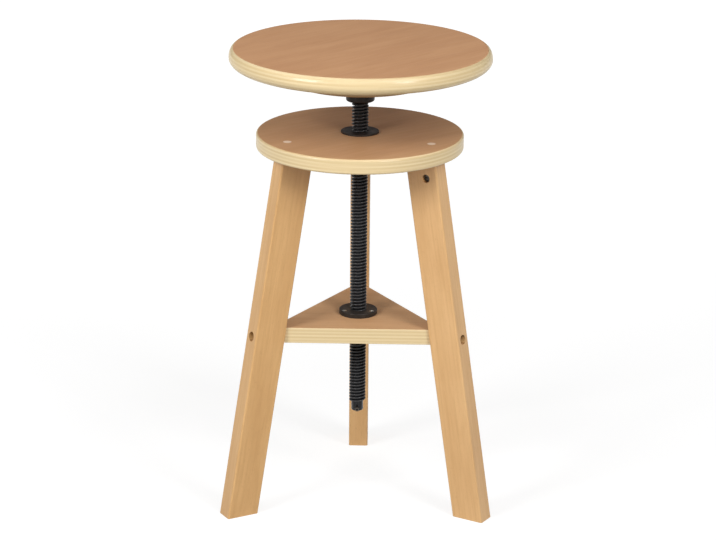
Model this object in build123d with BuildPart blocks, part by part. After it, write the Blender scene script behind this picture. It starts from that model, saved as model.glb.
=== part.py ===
from build123d import *
from math import cos, radians, sin, tan
import os

# A drafting stool: a round seat on a screw spindle, in a frame of three splayed legs with a round
# plate on top of them and a triangular brace between them. All sizes are in millimetres. +Z is up
# and the origin is on the floor, on the spindle's axis. The seat stands part of the way up its screw.

# Clearances, measured on the radius
running_gap = 0.05
assembly_gap = 0.05

# Angles in degrees
full_turn = 360
quarter_turn = 90

# Seat board, with a rounded edge whose widest line lies near the middle of its thickness
seat_diameter = 310
seat_thickness = 21
seat_widest_drop = 11
seat_top_inset = 6
seat_bottom_inset = 14

# Disc under the seat
disc_diameter = 176
disc_thickness = 17
disc_edge_round = 2

# Steel flange under the disc, with a hub for the spindle's neck
seat_flange_diameter = 96
seat_flange_thickness = 4
seat_flange_edge_round = 1
hub_wall = 8
hub_height = 10
hub_root_round = 3
hub_pin_diameter = 5

# Screw spindle
spindle_diameter = 20
neck_step = 2
thread_length = 376.8
thread_end_chamfer = 0.5
tip_step = 2.8
tip_length = 12.6
tip_chamfer = 1.2

# Spring pin through the spindle's tip, rolled from strip and so hollow, with a slit
stop_pin_diameter = 5
stop_pin_wall = 1.1
stop_pin_slit = 0.8
stop_pin_chamfer = 0.4
stop_pin_reach = 3
stop_pin_height = 4

# Loose ring between the hub and the end of the thread
collar_wall = 9
collar_height = 11.3
collar_edge_round = 2
collar_gap = 0.3

# How far the collar stands above the guide bush, which is how far the seat can be screwed down
seat_raise = 36.5

# Round plate on top of the legs
plate_height = 456
plate_diameter = 246
plate_thickness = 18
plate_edge_round = 2.7

# Guide bush in the plate
bush_wall = 2.5
bush_lip = 10
bush_flange_thickness = 2
bush_edge_round = 0.5

# Triangular brace, whose corners are cut to meet the legs' inner faces
brace_height = 230
brace_thickness = 19
brace_corner_width = 18
brace_edge_round = 0.8

# Flange nut in the brace, which the spindle turns in
nut_wall = 2.5
nut_lip = 10.4
nut_flange_thickness = 5.6
nut_edge_round = 1
nut_barrel_stand = 1

# Legs, with their tops set in from the plate's rim
leg_lean = 9.6
leg_depth = 39.5
leg_width = 24
leg_edge_round = 2
leg_setback = 14.7
leg_sides = ("back", "left", "right")
back_azimuth = 90

# Cap bolts and the barrel nuts that they screw into
bolt_diameter = 6
bolt_hole_diameter = 6.6
bolt_head_diameter = 10
bolt_head_height = 6
bolt_socket_sides = 6
bolt_socket_width = 5
bolt_socket_depth = 3
bolt_end_chamfer = 0.8
bolt_past_nut = 6
bolt_hole_past_nut = 8
barrel_nut_diameter = 10
barrel_nut_length = 14
barrel_nut_slot_width = 1.6
barrel_nut_slot_depth = 1.5

# Upright bolts from the plate into the legs, each under a wooden plug
plug_thickness = 3
leg_bolt_inset = 11.3
leg_nut_drop = 21.5
dowel_diameter = 8
dowel_in_plate = 10
dowel_in_leg = 13
dowel_inset = 12
dowel_chamfer = 0.8

# Level bolts from the legs' outer faces into the brace
brace_bolt_rise = 2.5
brace_counterbore_diameter = 11.5
brace_counterbore_depth = 12
brace_nut_depth = 22
brace_nut_cover = 2
brace_nut_recess = 0.5

# Wood screws: raised heads under the seat's flange, sunk heads in the disc and in the flange nut
screw_diameter = 3
screw_head_diameter = 5.6
screw_head_height = 2
screw_head_taper = 1.2
screw_point_length = 5
screw_point_diameter = 0.6
screw_bite = 12
seat_flange_screw_count = 4
seat_flange_screw_inset = 12
disc_screw_count = 4
disc_screw_inset = 18
disc_screw_bite = 11
nut_screw_count = 3
nut_screw_inset = 3.9

# Radii of the round pieces
spindle_radius = spindle_diameter / 2
neck_radius = spindle_radius - neck_step
tip_radius = spindle_radius - tip_step
hub_radius = neck_radius + hub_wall
collar_radius = neck_radius + collar_wall
spindle_bore = spindle_radius + running_gap
bush_sleeve_radius = spindle_bore + bush_wall
bush_flange_radius = bush_sleeve_radius + bush_lip
nut_barrel_radius = spindle_bore + nut_wall
nut_flange_radius = nut_barrel_radius + nut_lip
plug_radius = bolt_head_diameter / 2 + assembly_gap
barrel_nut_radius = barrel_nut_diameter / 2
screw_radius = screw_diameter / 2
screw_head_radius = screw_head_diameter / 2

# Heights, from the plate up to the seat and down to the spindle's tip
collar_bottom = plate_height + bush_flange_thickness + seat_raise
hub_bottom = collar_bottom + collar_height + collar_gap
seat_flange_bottom = hub_bottom + hub_height
disc_bottom = seat_flange_bottom + seat_flange_thickness
seat_bottom = disc_bottom + disc_thickness
seat_top = seat_bottom + seat_thickness
hub_pin_height = hub_bottom + hub_height / 2
thread_bottom = collar_bottom - thread_length
tip_bottom = thread_bottom - tip_length
leg_top = plate_height - plate_thickness
brace_bottom = brace_height - brace_thickness
brace_bolt_height = (brace_height + brace_bottom) / 2 + brace_bolt_rise

# Places on the legs, as radii from the spindle's axis, and the directions that the legs stand in
leg_spacing = full_turn / len(leg_sides)
leg_azimuths = {side: back_azimuth + place * leg_spacing for place, side in enumerate(leg_sides)}
lean_run = tan(radians(leg_lean))
leg_level_depth = leg_depth / cos(radians(leg_lean))
leg_top_radius = plate_diameter / 2 - leg_setback
leg_bolt_radius = leg_top_radius - leg_bolt_inset
dowel_radius = leg_top_radius - leg_level_depth + dowel_inset
leg_bolt_seat = plate_height - plug_thickness - bolt_head_height
leg_nut_height = leg_top - leg_nut_drop


def leg_outer(height):
    """Radius of the legs' outer faces at a height."""
    return leg_top_radius + (leg_top - height) * lean_run


def leg_inner(height):
    """Radius of the legs' inner faces at a height."""
    return leg_outer(height) - leg_level_depth


brace_bolt_seat = leg_outer(brace_bolt_height) - brace_counterbore_depth
brace_nut_radius = leg_inner(brace_bolt_height) - brace_nut_depth


def upright(azimuth, radius, height):
    """Level plane at a place on the stool, facing up, with its X axis pointing out."""
    out = Vector(cos(radians(azimuth)), sin(radians(azimuth)), 0)
    return Plane(origin=out * radius + Vector(0, 0, height), x_dir=out, z_dir=(0, 0, 1))


def downward(azimuth, radius, height):
    """Level plane at a place on the stool, facing down."""
    level = upright(azimuth, radius, height)
    return Plane(origin=level.origin, x_dir=level.x_dir, z_dir=-level.z_dir)


def outward(azimuth, radius, height):
    """Plane at a place on the stool, facing away from the spindle."""
    level = upright(azimuth, radius, height)
    return Plane(origin=level.origin, x_dir=level.y_dir, z_dir=level.x_dir)


def sideways(azimuth, radius, height, offset):
    """Plane beside a leg's middle, facing clockwise round the stool."""
    level = upright(azimuth, radius, height)
    return Plane(origin=level.origin - level.y_dir * offset, x_dir=level.x_dir, z_dir=-level.y_dir)


def leg_inner_face(azimuth, height, gap):
    """Leaning plane beside a leg's inner face, a gap away from it, facing the leg."""
    level = upright(azimuth, leg_inner(height) - gap, height)
    facing = level.x_dir * cos(radians(leg_lean)) + level.z_dir * sin(radians(leg_lean))
    return Plane(origin=level.origin, x_dir=level.y_dir, z_dir=facing)


def save(part, name):
    """Labels a finished piece and writes its file."""
    part.label = name
    export_step(part, f"parts/{name}.step")


def cap_bolt(seat, length):
    """Cap bolt whose head stands on a plane and whose shank goes down from it."""
    with BuildPart() as bolt:
        with Locations(seat):
            Cylinder(bolt_head_diameter / 2, bolt_head_height, align=(Align.CENTER, Align.CENTER, Align.MIN))
            Cylinder(bolt_diameter / 2, length, align=(Align.CENTER, Align.CENTER, Align.MAX))
        shank_end = bolt.faces().sort_by(Axis(seat.origin, seat.z_dir))[0]
        chamfer(shank_end.edges(), bolt_end_chamfer)
        with BuildSketch(seat.offset(bolt_head_height)):
            RegularPolygon(bolt_socket_width / 2, bolt_socket_sides, major_radius=False)
        extrude(amount=-bolt_socket_depth, mode=Mode.SUBTRACT)
    return bolt.part


def barrel_nut(end, length, bolt_axis):
    """Cylindrical nut that lies below its slotted end, with a cross hole on the bolt's axis."""
    with BuildPart() as nut:
        with Locations(end):
            Cylinder(barrel_nut_radius, length, align=(Align.CENTER, Align.CENTER, Align.MAX))
        with BuildSketch(end):
            Rectangle(barrel_nut_diameter, barrel_nut_slot_width)
        extrude(amount=-barrel_nut_slot_depth, mode=Mode.SUBTRACT)
        with Locations(bolt_axis):
            Hole(bolt_diameter / 2 + assembly_gap)
    return nut.part


def screw_shanks(seat, circle_radius, count, start_angle, length):
    """Ring of pointed shanks, added below a plane to the piece that is being made."""
    with Locations(seat):
        with PolarLocations(circle_radius, count, start_angle):
            Cylinder(screw_radius, length - screw_point_length,
                     align=(Align.CENTER, Align.CENTER, Align.MAX))
    with Locations(seat.offset(screw_point_length - length)):
        with PolarLocations(circle_radius, count, start_angle):
            Cone(screw_point_diameter / 2, screw_radius, screw_point_length,
                 align=(Align.CENTER, Align.CENTER, Align.MAX))


def raised_screws(seat, circle_radius, count, start_angle, length):
    """Ring of wood screws whose heads stand on a plane."""
    with BuildPart() as screws:
        screw_shanks(seat, circle_radius, count, start_angle, length)
        with Locations(seat):
            with PolarLocations(circle_radius, count, start_angle):
                Cone(screw_head_radius, screw_head_radius - screw_head_taper, screw_head_height,
                     align=(Align.CENTER, Align.CENTER, Align.MIN))
    return screws.part


def sunk_screws(seat, circle_radius, count, start_angle, length):
    """Ring of wood screws whose heads lie flush with a plane."""
    with BuildPart() as screws:
        screw_shanks(seat, circle_radius, count, start_angle, length)
        with Locations(seat):
            with PolarLocations(circle_radius, count, start_angle):
                Cone(screw_radius, screw_head_radius, screw_head_radius - screw_radius,
                     align=(Align.CENTER, Align.CENTER, Align.MAX))
    return screws.part


# Screw places, used by the screws and by the holes that they go into
seat_flange_screw_radius = seat_flange_diameter / 2 - seat_flange_screw_inset
disc_screw_radius = disc_diameter / 2 - disc_screw_inset
nut_screw_radius = nut_flange_radius - nut_screw_inset
seat_flange_screw_angle = 45
disc_screw_angle = 0
nut_screw_angle = back_azimuth

# The seat: an ellipse above the widest line and a wider one below it, turned about the axis
seat_widest = seat_top - seat_widest_drop
seat_radius = seat_diameter / 2
with BuildPart() as seat_board:
    with BuildSketch(Plane.XZ):
        with BuildLine():
            lower_edge = EllipticalCenterArc((seat_radius - seat_bottom_inset, seat_widest),
                                             seat_bottom_inset, seat_widest - seat_bottom,
                                             start_angle=-quarter_turn, arc_size=quarter_turn)
            upper_edge = EllipticalCenterArc((seat_radius - seat_top_inset, seat_widest),
                                             seat_top_inset, seat_widest_drop,
                                             start_angle=0, arc_size=quarter_turn)
            Polyline(upper_edge @ 1, (0, seat_top), (0, seat_bottom), lower_edge @ 0)
        make_face()
    revolve(axis=Axis.Z)
    with Locations(Plane((0, 0, seat_bottom), z_dir=(0, 0, -1))):
        with PolarLocations(disc_screw_radius, disc_screw_count, disc_screw_angle):
            Hole(screw_radius + assembly_gap, disc_screw_bite)
save(seat_board.part, "seat_board")

# The disc under the seat, with through holes for its own screws and blind ones for the flange's
with BuildPart() as seat_disc:
    with BuildSketch(Plane.XY.offset(disc_bottom)):
        Circle(disc_diameter / 2)
    extrude(amount=disc_thickness)
    lower_rim = seat_disc.edges().group_by(Axis.Z)[0]
    fillet(lower_rim, disc_edge_round)
    with Locations(Plane((0, 0, disc_bottom), z_dir=(0, 0, -1))):
        with PolarLocations(disc_screw_radius, disc_screw_count, disc_screw_angle):
            CounterSinkHole(screw_radius + assembly_gap, screw_head_radius + assembly_gap,
                            counter_sink_angle=quarter_turn)
        with PolarLocations(seat_flange_screw_radius, seat_flange_screw_count, seat_flange_screw_angle):
            Hole(screw_radius + assembly_gap, screw_bite)
save(seat_disc.part, "seat_disc")
save(sunk_screws(Plane((0, 0, disc_bottom), z_dir=(0, 0, -1)), disc_screw_radius, disc_screw_count,
                 disc_screw_angle, disc_thickness + disc_screw_bite), "seat_disc_screws")

# The steel flange: a plate against the disc and a hub below it, bored for the spindle's neck
with BuildPart() as seat_flange:
    with BuildSketch(Plane.XY.offset(seat_flange_bottom)):
        Circle(seat_flange_diameter / 2)
    extrude(amount=seat_flange_thickness)
    fillet(seat_flange.edges().group_by(Axis.Z)[0], seat_flange_edge_round)
    with BuildSketch(Plane.XY.offset(hub_bottom)):
        Circle(hub_radius)
    extrude(amount=hub_height)
    level_edges = seat_flange.edges().filter_by(GeomType.CIRCLE).filter_by_position(
        Axis.Z, seat_flange_bottom - assembly_gap, seat_flange_bottom + assembly_gap)
    hub_root = level_edges.sort_by(SortBy.RADIUS)[0]
    fillet(hub_root, hub_root_round)
    with Locations((0, 0, seat_flange_bottom)):
        Hole(neck_radius + assembly_gap)
        with PolarLocations(seat_flange_screw_radius, seat_flange_screw_count, seat_flange_screw_angle):
            Hole(screw_radius + assembly_gap)
    with Locations(Plane((0, 0, hub_pin_height), z_dir=(1, 0, 0))):
        Hole(hub_pin_diameter / 2 + assembly_gap)
save(seat_flange.part, "seat_flange")
save(raised_screws(Plane((0, 0, seat_flange_bottom), z_dir=(0, 0, -1)), seat_flange_screw_radius,
                   seat_flange_screw_count, seat_flange_screw_angle, seat_flange_thickness + screw_bite),
     "seat_flange_screws")

# The spindle's outline from its tip up: tip, thread at its outside diameter, and neck
with BuildPart() as spindle:
    with BuildSketch(Plane.XZ):
        with BuildLine():
            Polyline((0, tip_bottom), (tip_radius - tip_chamfer, tip_bottom),
                     (tip_radius, tip_bottom + tip_chamfer), (tip_radius, thread_bottom),
                     (spindle_radius - thread_end_chamfer, thread_bottom),
                     (spindle_radius, thread_bottom + thread_end_chamfer),
                     (spindle_radius, collar_bottom), (neck_radius, collar_bottom),
                     (neck_radius, disc_bottom), (0, disc_bottom), close=True)
        make_face()
    revolve(axis=Axis.Z)
    with Locations(Plane((0, 0, hub_pin_height), z_dir=(1, 0, 0))):
        Hole(hub_pin_diameter / 2 + assembly_gap)
    with Locations(Plane((0, 0, tip_bottom + stop_pin_height), z_dir=(0, 1, 0))):
        Hole(stop_pin_diameter / 2 + assembly_gap)
save(spindle.part, "spindle")

# Cross pins: one holds the neck in the hub, and one stands out of the tip as a stop
with BuildPart(Plane((0, 0, hub_pin_height), z_dir=(1, 0, 0))) as hub_pin:
    Cylinder(hub_pin_diameter / 2, 2 * hub_radius)
save(hub_pin.part, "hub_pin")

stop_pin_radius = stop_pin_diameter / 2
with BuildPart() as stop_pin:
    with BuildSketch(Plane((0, 0, tip_bottom + stop_pin_height), x_dir=(1, 0, 0), z_dir=(0, 1, 0))):
        Circle(stop_pin_radius)
    extrude(amount=spindle_radius + stop_pin_reach, both=True)
    chamfer(stop_pin.edges().filter_by(GeomType.CIRCLE), stop_pin_chamfer)
    with BuildSketch(Plane((0, 0, tip_bottom + stop_pin_height), x_dir=(1, 0, 0), z_dir=(0, 1, 0))):
        Circle(stop_pin_radius - stop_pin_wall)
        with Locations((0, stop_pin_radius / 2)):
            Rectangle(stop_pin_slit, stop_pin_radius)
    extrude(amount=spindle_radius + stop_pin_reach, both=True, mode=Mode.SUBTRACT)
save(stop_pin.part, "stop_pin")

# The loose collar sits on the end of the thread and turns freely on the neck
with BuildPart() as stop_collar:
    with BuildSketch(Plane.XY.offset(collar_bottom)):
        Circle(collar_radius)
        Circle(neck_radius + running_gap, mode=Mode.SUBTRACT)
    extrude(amount=collar_height)
    collar_rim = stop_collar.edges().group_by(Axis.Z)[0].sort_by(SortBy.RADIUS)[-1]
    fillet(collar_rim, collar_edge_round)
save(stop_collar.part, "stop_collar")

# The round plate: counterbored holes for the leg bolts, and blind dowel holes from below
with BuildPart() as top_plate:
    with BuildSketch(Plane.XY.offset(leg_top)):
        Circle(plate_diameter / 2)
    extrude(amount=plate_thickness)
    fillet(top_plate.edges().filter_by(GeomType.CIRCLE), plate_edge_round)
    with Locations((0, 0, plate_height)):
        Hole(bush_sleeve_radius + assembly_gap)
    for azimuth in leg_azimuths.values():
        with Locations(upright(azimuth, leg_bolt_radius, plate_height)):
            Hole(bolt_hole_diameter / 2)
            Hole(plug_radius + assembly_gap, plug_thickness + bolt_head_height)
        with Locations(downward(azimuth, dowel_radius, leg_top)):
            Hole(dowel_diameter / 2 + assembly_gap, dowel_in_plate)
save(top_plate.part, "top_plate")

# The guide bush: a thin flange on the plate and a plain sleeve through it
with BuildPart() as guide_bush:
    with BuildSketch(Plane.XY.offset(plate_height)):
        Circle(bush_flange_radius)
    extrude(amount=bush_flange_thickness)
    fillet(guide_bush.edges().group_by(Axis.Z)[-1], bush_edge_round)
    with BuildSketch(Plane.XY.offset(plate_height)):
        Circle(bush_sleeve_radius)
    extrude(amount=-plate_thickness)
    with Locations((0, 0, plate_height)):
        Hole(spindle_bore)
save(guide_bush.part, "guide_bush")

# The brace: a triangle with a corner at each leg, cut off along the leg's leaning inner face
brace_half_corner = quarter_turn - leg_spacing / 2
brace_corner_reach = brace_corner_width / 2 / tan(radians(brace_half_corner))
with BuildPart() as brace_plate:
    with BuildSketch(Plane.XY.offset(brace_bottom)):
        RegularPolygon(leg_inner(brace_height) + brace_corner_reach, len(leg_sides), rotation=back_azimuth)
    extrude(amount=brace_thickness)
    level_edges = brace_plate.edges().filter_by(Axis.Z, reverse=True)
    fillet(level_edges, brace_edge_round)
    for azimuth in leg_azimuths.values():
        split(bisect_by=leg_inner_face(azimuth, brace_height, assembly_gap), keep=Keep.BOTTOM)
    with Locations((0, 0, brace_height)):
        Hole(nut_barrel_radius + assembly_gap)
        with PolarLocations(nut_screw_radius, nut_screw_count, nut_screw_angle):
            Hole(screw_radius + assembly_gap, screw_bite)
    for azimuth in leg_azimuths.values():
        with Locations(outward(azimuth, leg_inner(brace_bolt_height), brace_bolt_height)):
            Hole(bolt_hole_diameter / 2, brace_nut_depth + bolt_hole_past_nut)
        with Locations(downward(azimuth, brace_nut_radius, brace_bottom)):
            Hole(barrel_nut_radius + assembly_gap, brace_thickness - brace_nut_cover)
save(brace_plate.part, "brace_plate")

# The flange nut: a thick flange on the brace and a barrel through it
with BuildPart() as flange_nut:
    with BuildSketch(Plane.XY.offset(brace_height)):
        Circle(nut_flange_radius)
    extrude(amount=nut_flange_thickness)
    fillet(flange_nut.edges().group_by(Axis.Z)[-1], nut_edge_round)
    with BuildSketch(Plane.XY.offset(brace_height)):
        Circle(nut_barrel_radius)
    extrude(amount=-brace_thickness - nut_barrel_stand)
    with Locations((0, 0, brace_height)):
        Hole(spindle_bore)
    with Locations((0, 0, brace_height + nut_flange_thickness)):
        with PolarLocations(nut_screw_radius, nut_screw_count, nut_screw_angle):
            CounterSinkHole(screw_radius + assembly_gap, screw_head_radius + assembly_gap,
                            counter_sink_angle=quarter_turn)
save(flange_nut.part, "flange_nut")
save(sunk_screws(Plane.XY.offset(brace_height + nut_flange_thickness), nut_screw_radius, nut_screw_count,
                 nut_screw_angle, nut_flange_thickness + screw_bite), "flange_nut_screws")

# Each leg with its own fasteners
leg_middle = (leg_outer(0) + leg_inner(0)) / 2
leg_nut_end = barrel_nut_length / 2
dowel_length = dowel_in_plate + dowel_in_leg
for side, azimuth in leg_azimuths.items():
    foot = upright(azimuth, 0, 0)
    lean_direction = foot.z_dir * cos(radians(leg_lean)) - foot.x_dir * sin(radians(leg_lean))
    with BuildPart() as leg:
        with BuildSketch(foot) as section:
            with Locations((leg_middle, 0)):
                Rectangle(leg_level_depth, leg_width)
            fillet(section.vertices(), leg_edge_round)
        extrude(amount=leg_top / cos(radians(leg_lean)), dir=lean_direction)
        with Locations(upright(azimuth, leg_bolt_radius, leg_top)):
            Hole(bolt_hole_diameter / 2, leg_nut_drop + bolt_hole_past_nut)
        with Locations(upright(azimuth, dowel_radius, leg_top)):
            Hole(dowel_diameter / 2 + assembly_gap, dowel_in_leg)
        with Locations(sideways(azimuth, leg_bolt_radius, leg_nut_height, leg_width / 2)):
            Hole(barrel_nut_radius + assembly_gap, leg_width / 2 + leg_nut_end)
        with Locations(outward(azimuth, leg_outer(brace_bolt_height), brace_bolt_height)):
            Hole(bolt_hole_diameter / 2)
            Hole(brace_counterbore_diameter / 2, brace_counterbore_depth)
    save(leg.part, f"leg_{side}")

    leg_bolt_length = leg_bolt_seat - leg_nut_height + bolt_past_nut
    save(cap_bolt(upright(azimuth, leg_bolt_radius, leg_bolt_seat), leg_bolt_length), f"leg_bolt_{side}")
    save(barrel_nut(sideways(azimuth, leg_bolt_radius, leg_nut_height, leg_nut_end), barrel_nut_length,
                    upright(azimuth, leg_bolt_radius, leg_nut_height)), f"leg_nut_{side}")

    with BuildPart(upright(azimuth, leg_bolt_radius, plate_height)) as plug:
        Cylinder(plug_radius, plug_thickness, align=(Align.CENTER, Align.CENTER, Align.MAX))
    save(plug.part, f"plug_{side}")

    with BuildPart(upright(azimuth, dowel_radius, leg_top - dowel_in_leg)) as leg_dowel:
        Cylinder(dowel_diameter / 2, dowel_length, align=(Align.CENTER, Align.CENTER, Align.MIN))
        chamfer(leg_dowel.edges().filter_by(GeomType.CIRCLE), dowel_chamfer)
    save(leg_dowel.part, f"leg_dowel_{side}")

    brace_bolt_length = brace_bolt_seat - brace_nut_radius + bolt_past_nut
    save(cap_bolt(outward(azimuth, brace_bolt_seat, brace_bolt_height), brace_bolt_length),
         f"brace_bolt_{side}")
    brace_nut_end = downward(azimuth, brace_nut_radius, brace_bottom + brace_nut_recess)
    save(barrel_nut(brace_nut_end, brace_thickness - brace_nut_cover - brace_nut_recess,
                    outward(azimuth, brace_nut_radius, brace_bolt_height)), f"brace_nut_{side}")
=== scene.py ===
# %% [markdown]
# A drafting stool, dressed for a studio picture.
# The real stool is a round plywood seat on a black screw, in a frame of three beech legs. Its solids
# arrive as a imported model: every piece is already in its place, in metres, with +Z up and the origin
# on the floor under the spindle. They could be modelled again here, but then the picture and the
# moving model could drift apart. So Blender only adds what the solids don't carry: the thread of the
# screw, the recesses of small screws, wood, plywood edges, steel and light.

# %% Load the frame
import math

import bmesh
import bpy
from mathutils import Matrix, Vector


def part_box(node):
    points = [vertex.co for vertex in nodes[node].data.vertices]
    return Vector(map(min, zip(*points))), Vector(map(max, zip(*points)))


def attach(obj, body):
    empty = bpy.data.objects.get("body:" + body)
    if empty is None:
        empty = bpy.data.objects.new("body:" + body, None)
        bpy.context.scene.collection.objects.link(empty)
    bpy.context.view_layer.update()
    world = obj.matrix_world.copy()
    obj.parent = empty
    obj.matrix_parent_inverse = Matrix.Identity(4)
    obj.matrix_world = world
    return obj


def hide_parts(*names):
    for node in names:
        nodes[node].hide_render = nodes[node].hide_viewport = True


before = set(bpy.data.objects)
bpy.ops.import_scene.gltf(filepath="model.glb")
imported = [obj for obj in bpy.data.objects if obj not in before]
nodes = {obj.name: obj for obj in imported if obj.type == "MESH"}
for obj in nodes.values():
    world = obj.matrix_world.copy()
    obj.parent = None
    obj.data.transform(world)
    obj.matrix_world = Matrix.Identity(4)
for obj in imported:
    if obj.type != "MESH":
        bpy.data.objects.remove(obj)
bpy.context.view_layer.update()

MM = 0.001

# %% [markdown]
# The pieces made here have to meet the solids: the thread ends under the collar, and the plies are
# counted from the underside of their board. These heights could be typed in from a drawing. They are
# read from the frame instead, where a node's box gives its lowest and highest corner, so that they
# follow the solids when a size changes.

# %% Read the sizes that the new pieces fit to
def low_high(node):
    """Lowest and highest height of a node."""
    low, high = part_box(node)
    return low.z, high.z


def half_width(node):
    """Half of a node's width along X."""
    low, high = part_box(node)
    return (high.x - low.x) / 2


spindle_bottom, spindle_top = low_high("spindle")
thread_top = low_high("stop_collar")[0]
crest_radius = half_width("spindle")
nut_bottom, nut_top = low_high("flange_nut")
plate_bottom, plate_top = low_high("top_plate")
brace_bottom, brace_top = low_high("brace_plate")
seat_bottom, seat_top = low_high("seat_board")
disc_bottom, disc_top = low_high("seat_disc")
print("thread ends under the collar at", round(thread_top, 4), "seat top at", round(seat_top, 4))

# %% [markdown]
# The photograph looks a little down on the seat through a long lens, so the legs hardly converge. A
# camera could be placed by eye, or aimed with a Track To constraint. Here its distance, height and
# tilt come from a fit to the circles of the seat and plate and to the lines of the legs. They are put
# together as a matrix, because a matrix takes a fitted tilt and roll as they are.

# %% Set up the camera
IMAGE_WIDTH = 716
FOCAL_PIXELS = 2647.6
SENSOR_WIDTH = 36.0
CAMERA_DISTANCE = 3.02785
CAMERA_HEIGHT = 1.2738
CAMERA_PITCH = math.radians(18.10)
CAMERA_ROLL = math.radians(0.591)
CAMERA_YAW = math.radians(-0.013)
CAMERA_AZIMUTH = math.radians(0.747)


def new_object(name, data):
    """A new object, linked into the scene."""
    made = bpy.data.objects.new(name, data)
    bpy.context.scene.collection.objects.link(made)
    return made


camera_data = bpy.data.cameras.new("camera")
camera_data.sensor_width = SENSOR_WIDTH
camera_data.lens = FOCAL_PIXELS * SENSOR_WIDTH / IMAGE_WIDTH
camera = new_object("camera", camera_data)
bpy.context.scene.camera = camera

round_the_stool = Matrix.Rotation(CAMERA_AZIMUTH, 3, "Z")
forward = Vector((math.sin(CAMERA_YAW) * math.cos(CAMERA_PITCH),
                  math.cos(CAMERA_YAW) * math.cos(CAMERA_PITCH), -math.sin(CAMERA_PITCH)))
level_right = Vector((math.cos(CAMERA_YAW), -math.sin(CAMERA_YAW), 0))
level_up = level_right.cross(forward)
right = math.cos(CAMERA_ROLL) * level_right + math.sin(CAMERA_ROLL) * level_up
up = math.cos(CAMERA_ROLL) * level_up - math.sin(CAMERA_ROLL) * level_right
turn = round_the_stool @ Matrix((right, up, -forward)).transposed()
place = round_the_stool @ Vector((0, -CAMERA_DISTANCE, CAMERA_HEIGHT))
camera.matrix_world = Matrix.Translation(place) @ turn.to_4x4()
print("camera at", [round(v, 3) for v in place], "lens", round(camera_data.lens, 1), "mm")

# %% [markdown]
# Every finish of the stool is a tree of nodes. Nodes could be laid out by hand in the shader editor,
# but such a tree can't be read or rebuilt as text. In Python a node takes one line to make it, one for
# each value and one for each link. These helpers put all that into one call, so that a finish reads
# like a recipe.

# %% Helpers that add nodes
def add_node(tree, kind, inputs=None, **settings):
    """Adds a node; an input is either a value to set or a socket to link."""
    made = tree.nodes.new(kind)
    for setting, value in settings.items():
        setattr(made, setting, value)
    for key, value in (inputs or {}).items():
        if isinstance(value, bpy.types.NodeSocket):
            tree.links.new(value, made.inputs[key])
        else:
            made.inputs[key].default_value = value
    return made


def math_node(tree, operation, first, second=0.0):
    """The result of one sum on two values."""
    return add_node(tree, "ShaderNodeMath", {0: first, 1: second}, operation=operation).outputs[0]


def vector_node(tree, operation, first, second=(0, 0, 0)):
    """The outputs of one sum on two vectors."""
    return add_node(tree, "ShaderNodeVectorMath", {0: first, 1: second}, operation=operation).outputs


def remap(tree, value, low, high, to_low=0.0, to_high=1.0):
    """A value stretched from one range to another, and kept inside it."""
    inputs = {"Value": value, "From Min": low, "From Max": high, "To Min": to_low, "To Max": to_high}
    return add_node(tree, "ShaderNodeMapRange", inputs).outputs["Result"]


def mix_value(tree, factor, first, second):
    """One value blended into another."""
    return add_node(tree, "ShaderNodeMix", {0: factor, 2: first, 3: second}).outputs[0]


def mix_colour(tree, factor, first, second):
    """One colour blended into another."""
    mix = add_node(tree, "ShaderNodeMix", {0: factor, 6: first, 7: second}, data_type="RGBA")
    return mix.outputs[2]


print("helpers that add nodes are ready")

# %% [markdown]
# Wood and steel are never quite even. An image could show that, but an image has one sharpness and has
# to be wrapped round each piece. Noise is worked out at every point of the solid, so it needs no
# wrapping, and stretched along one axis its blotches become grain. Colours are written as they are
# picked on a screen, and turned into the linear values that nodes work with.

# %% Helpers for noise, colours and distances
LEVEL = (1, 1, 0)


def noise(tree, vector, scale, detail=2.0, roughness=0.5):
    """Smooth noise, with its own scale along each axis."""
    stretched = add_node(tree, "ShaderNodeMapping", {"Vector": vector, "Scale": scale})
    inputs = {"Vector": stretched.outputs[0], "Scale": 1.0, "Detail": detail, "Roughness": roughness}
    return add_node(tree, "ShaderNodeTexNoise", inputs).outputs["Fac"]


def level_distance(tree, vector):
    """How far a point is from the upright axis through the origin."""
    flat = vector_node(tree, "MULTIPLY", vector, LEVEL)
    return vector_node(tree, "LENGTH", flat[0])["Value"]


def srgb(red, green, blue):
    """A colour as picked on a screen, from 0 to 255, as the linear colour that nodes use."""
    def linear(value):
        share = value / 255
        return share / 12.92 if share <= 0.04045 else ((share + 0.055) / 1.055) ** 2.4
    return (linear(red), linear(green), linear(blue), 1.0)


print("a middle grey of 128 is", round(srgb(128, 128, 128)[0], 3), "in linear light")

# %% [markdown]
# On the stool one effect often serves several finishes: all wood has grain, all metal is mottled. Its
# nodes could be copied into each material, but then a correction has to be made in every copy. A node
# group is built once and placed where it is needed, with its own values. The group gives out colours,
# values and heights only. The Principled shader stays in the material, where an exporter looks for it.

# %% Helpers for groups and materials
COLOUR = "NodeSocketColor"
NUMBER = "NodeSocketFloat"
ARROW = "NodeSocketVector"
WHITE = (1.0, 1.0, 1.0, 1.0)
BLACK = (0.0, 0.0, 0.0, 1.0)


def new_group(name, inputs, outputs):
    """A node group with named sockets; gives back its tree, its inputs and its outputs."""
    tree = bpy.data.node_groups.new(name, "ShaderNodeTree")
    for label, kind, default in inputs:
        tree.interface.new_socket(label, in_out="INPUT", socket_type=kind).default_value = default
    for label, kind in outputs:
        tree.interface.new_socket(label, in_out="OUTPUT", socket_type=kind)
    return tree, tree.nodes.new("NodeGroupInput").outputs, tree.nodes.new("NodeGroupOutput").inputs


def group_node(tree, group, inputs):
    """One use of a node group in a material; gives back its outputs."""
    return add_node(tree, "ShaderNodeGroup", inputs, node_tree=group).outputs


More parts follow.
